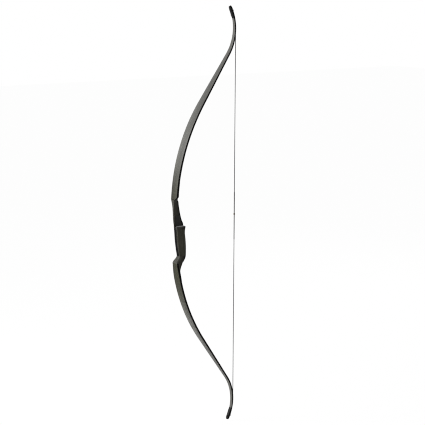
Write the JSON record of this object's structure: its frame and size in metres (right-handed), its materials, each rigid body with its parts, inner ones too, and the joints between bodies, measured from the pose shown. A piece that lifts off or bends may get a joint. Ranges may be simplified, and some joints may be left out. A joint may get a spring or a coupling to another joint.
{
  "type": "recurve bow",
  "caption": "Right-handed recurve bow, strung, with a one-piece riser, laminated limbs that bend as it is drawn, tip overlays and a served string.",
  "frame": {"origin": "throat of the grip on the belly's centre line, where the web of the bow hand pushes", "axes": "+Z to the upper tip, +X to the string and the archer, -Y to the window and arrow shelf side; the limbs' mirror plane is at Z = 35 mm"},
  "size_m": [0.2415, 0.0352, 1.4048],
  "materials": {
    "riser_wood": "satin black lacquer on laminated hardwood",
    "grip_leather": "smooth satin black",
    "pad_felt": "short black pile",
    "strike_leather": "matte black suede",
    "back_glass": "black unidirectional glass laminate, satin",
    "core_wood": "dark stained edge under clear lacquer",
    "belly_glass": "black unidirectional glass laminate, satin",
    "tip_overlay": "black phenolic, polished satin",
    "serving_thread": "tight black serving thread",
    "string_strands": "waxed black strands",
    "locator_brass": "crimped, satin"
  },
  "bodies": {
    "riser": {"riser_block": "riser_wood", "grip_sleeve": "grip_leather", "shelf_pad": "pad_felt", "strike_plate": "strike_leather", "upper_root_back_glass": "back_glass", "upper_root_back_core": "core_wood", "upper_root_belly_core": "core_wood", "upper_root_belly_glass": "belly_glass", "lower_root_back_glass": "back_glass", "lower_root_back_core": "core_wood", "lower_root_belly_core": "core_wood", "lower_root_belly_glass": "belly_glass"},
    "upper_limb": {"upper_back_glass": "back_glass", "upper_back_core": "core_wood", "upper_belly_core": "core_wood", "upper_belly_glass": "belly_glass", "upper_tip_overlay": "tip_overlay", "upper_string_loop": "serving_thread"},
    "upper_string_end": {"upper_end_serving": "serving_thread"},
    "upper_string_half": {"upper_string": "string_strands", "upper_centre_serving": "serving_thread", "nock_locator": "locator_brass"},
    "lower_limb": {"lower_back_glass": "back_glass", "lower_back_core": "core_wood", "lower_belly_core": "core_wood", "lower_belly_glass": "belly_glass", "lower_tip_overlay": "tip_overlay", "lower_string_loop": "serving_thread"},
    "lower_string_end": {"lower_end_serving": "serving_thread"},
    "lower_string_half": {"lower_string": "string_strands", "lower_centre_serving": "serving_thread"}
  },
  "joints": [
    {"name": "upper_limb_flex", "type": "hinge", "parent": "riser", "child": "upper_limb", "pos_m": [-0.01258, 0, 0.24733], "axis": [0, 1, 0], "range_deg": [0, 18.7], "stiffness_Nm_per_rad": 100, "springref_deg": -17.19},
    {"name": "upper_string_lift", "type": "hinge", "parent": "upper_limb", "child": "upper_string_end", "pos_m": [0.18864, 0, 0.71938], "axis": [0, -1, 0], "range_deg": [0, 37.78]},
    {"name": "upper_string_bend", "type": "hinge", "parent": "upper_string_end", "child": "upper_string_half", "pos_m": [0.19928, 0, 0.66422], "axis": [0, -1, 0], "range_deg": [0, 10.93], "deforming": ["upper_centre_serving"]},
    {"name": "lower_limb_flex", "type": "hinge", "parent": "riser", "child": "lower_limb", "pos_m": [-0.01258, 0, -0.17733], "axis": [0, -1, 0], "range_deg": [0, 18.4], "stiffness_Nm_per_rad": 100, "springref_deg": -17.19},
    {"name": "lower_string_lift", "type": "hinge", "parent": "lower_limb", "child": "lower_string_end", "pos_m": [0.18864, 0, -0.64938], "axis": [0, 1, 0], "range_deg": [0, 36.72]},
    {"name": "lower_string_bend", "type": "hinge", "parent": "lower_string_end", "child": "lower_string_half", "pos_m": [0.19928, 0, -0.59422], "axis": [0, 1, 0], "range_deg": [0, 10.93], "deforming": ["lower_centre_serving"]}
  ],
  "couplings": [
    {"joint": "lower_limb_flex", "follows": "upper_limb_flex", "ratio": 0.98352},
    {"joint": "upper_string_lift", "follows": "upper_limb_flex", "ratio": 2.0199},
    {"joint": "upper_string_bend", "follows": "upper_limb_flex", "ratio": 0.5841},
    {"joint": "lower_string_lift", "follows": "upper_limb_flex", "ratio": 1.9632},
    {"joint": "lower_string_bend", "follows": "upper_limb_flex", "ratio": 0.5841}
  ]
}
